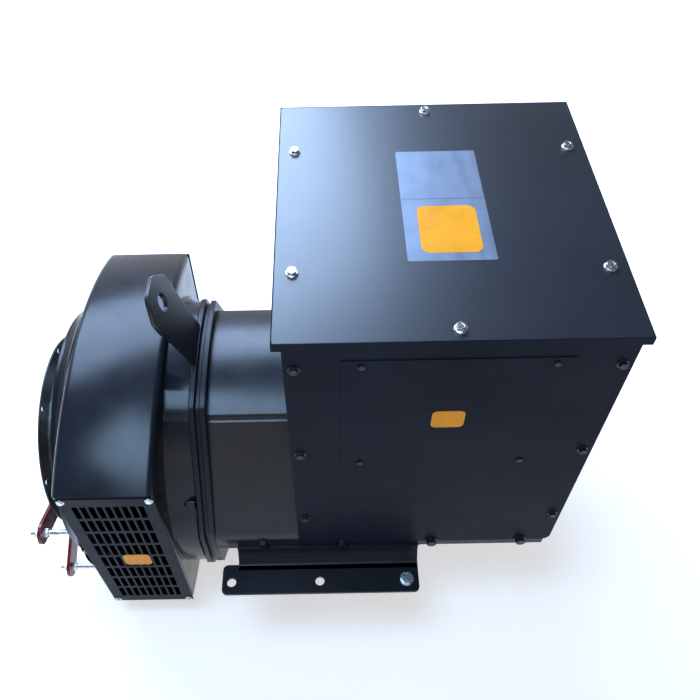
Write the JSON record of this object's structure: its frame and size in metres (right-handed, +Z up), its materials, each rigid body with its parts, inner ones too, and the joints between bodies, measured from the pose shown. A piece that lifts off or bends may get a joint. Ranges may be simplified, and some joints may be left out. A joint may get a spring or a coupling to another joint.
{
  "type": "generator alternator head",
  "caption": "Single-bearing brushless alternator head with flanged drive end, coupling disc, turning rotor, folded wrap, side feet and a terminal box.",
  "frame": {"origin": "centre of the drive-end flange face, on the shaft axis", "axes": "+X along the shaft towards the non-drive end; +Z up, towards the terminal box lid; -Y towards the side with the regulator cover"},
  "size_m": [0.906, 0.624, 0.8005],
  "materials": {
    "black_paint": "semi-gloss black enamel",
    "grille_paint": "satin slate-black enamel",
    "red_paint": "gloss deep red enamel",
    "zinc": "bright zinc plate",
    "dark_fastener": "blackened steel",
    "lamination": "varnished laminations",
    "winding": "varnished copper winding",
    "machined_steel": "machined steel",
    "cast_aluminium": "as cast",
    "moulding": "moulded compound"
  },
  "bodies": {
    "frame": {"bearing_outer": "zinc", "box_end_de": "black_paint", "box_end_nde": "black_paint", "box_floor": "black_paint", "box_side_front": "black_paint", "box_side_rear": "black_paint", "box_top_rails": "black_paint", "de_adaptor": "black_paint", "de_grille_front": "grille_paint", "de_grille_rear": "grille_paint", "de_ring": "black_paint", "exciter_stator": "lamination", "foot_bolts": "zinc", "foot_front": "black_paint", "foot_rear": "black_paint", "grille_screws": "zinc", "lid": "black_paint", "lid_bolts": "zinc", "lifting_lug": "black_paint", "nde_bracket": "black_paint", "nde_cover": "black_paint", "panel_screws": "dark_fastener", "rail_front": "black_paint", "rail_rear": "black_paint", "regulator": "moulding", "regulator_cover": "black_paint", "ring_bolts": "dark_fastener", "side_bolts": "dark_fastener", "stator_bars": "black_paint", "stator_coil_de": "winding", "stator_coil_nde": "winding", "stator_core": "lamination", "terminal_board": "moulding", "terminal_studs": "zinc", "transit_bar_lower": "red_paint", "transit_bar_upper": "red_paint", "transit_bolts": "zinc", "wrap_lower": "black_paint", "wrap_upper": "black_paint"},
    "rotor": {"bearing_inner": "zinc", "coupling_disc": "machined_steel", "disc_bolts": "zinc", "exciter_rotor": "lamination", "fan": "cast_aluminium", "hub": "machined_steel", "rectifier": "cast_aluminium", "rotor_coil_de": "winding", "rotor_coil_nde": "winding", "rotor_core": "lamination", "shaft": "machined_steel"}
  },
  "joints": [
    {"name": "rotor_spin", "type": "hinge", "parent": "frame", "child": "rotor", "pos_m": [0, 0, 0], "axis": [1, 0, 0], "continuous": true}
  ]
}
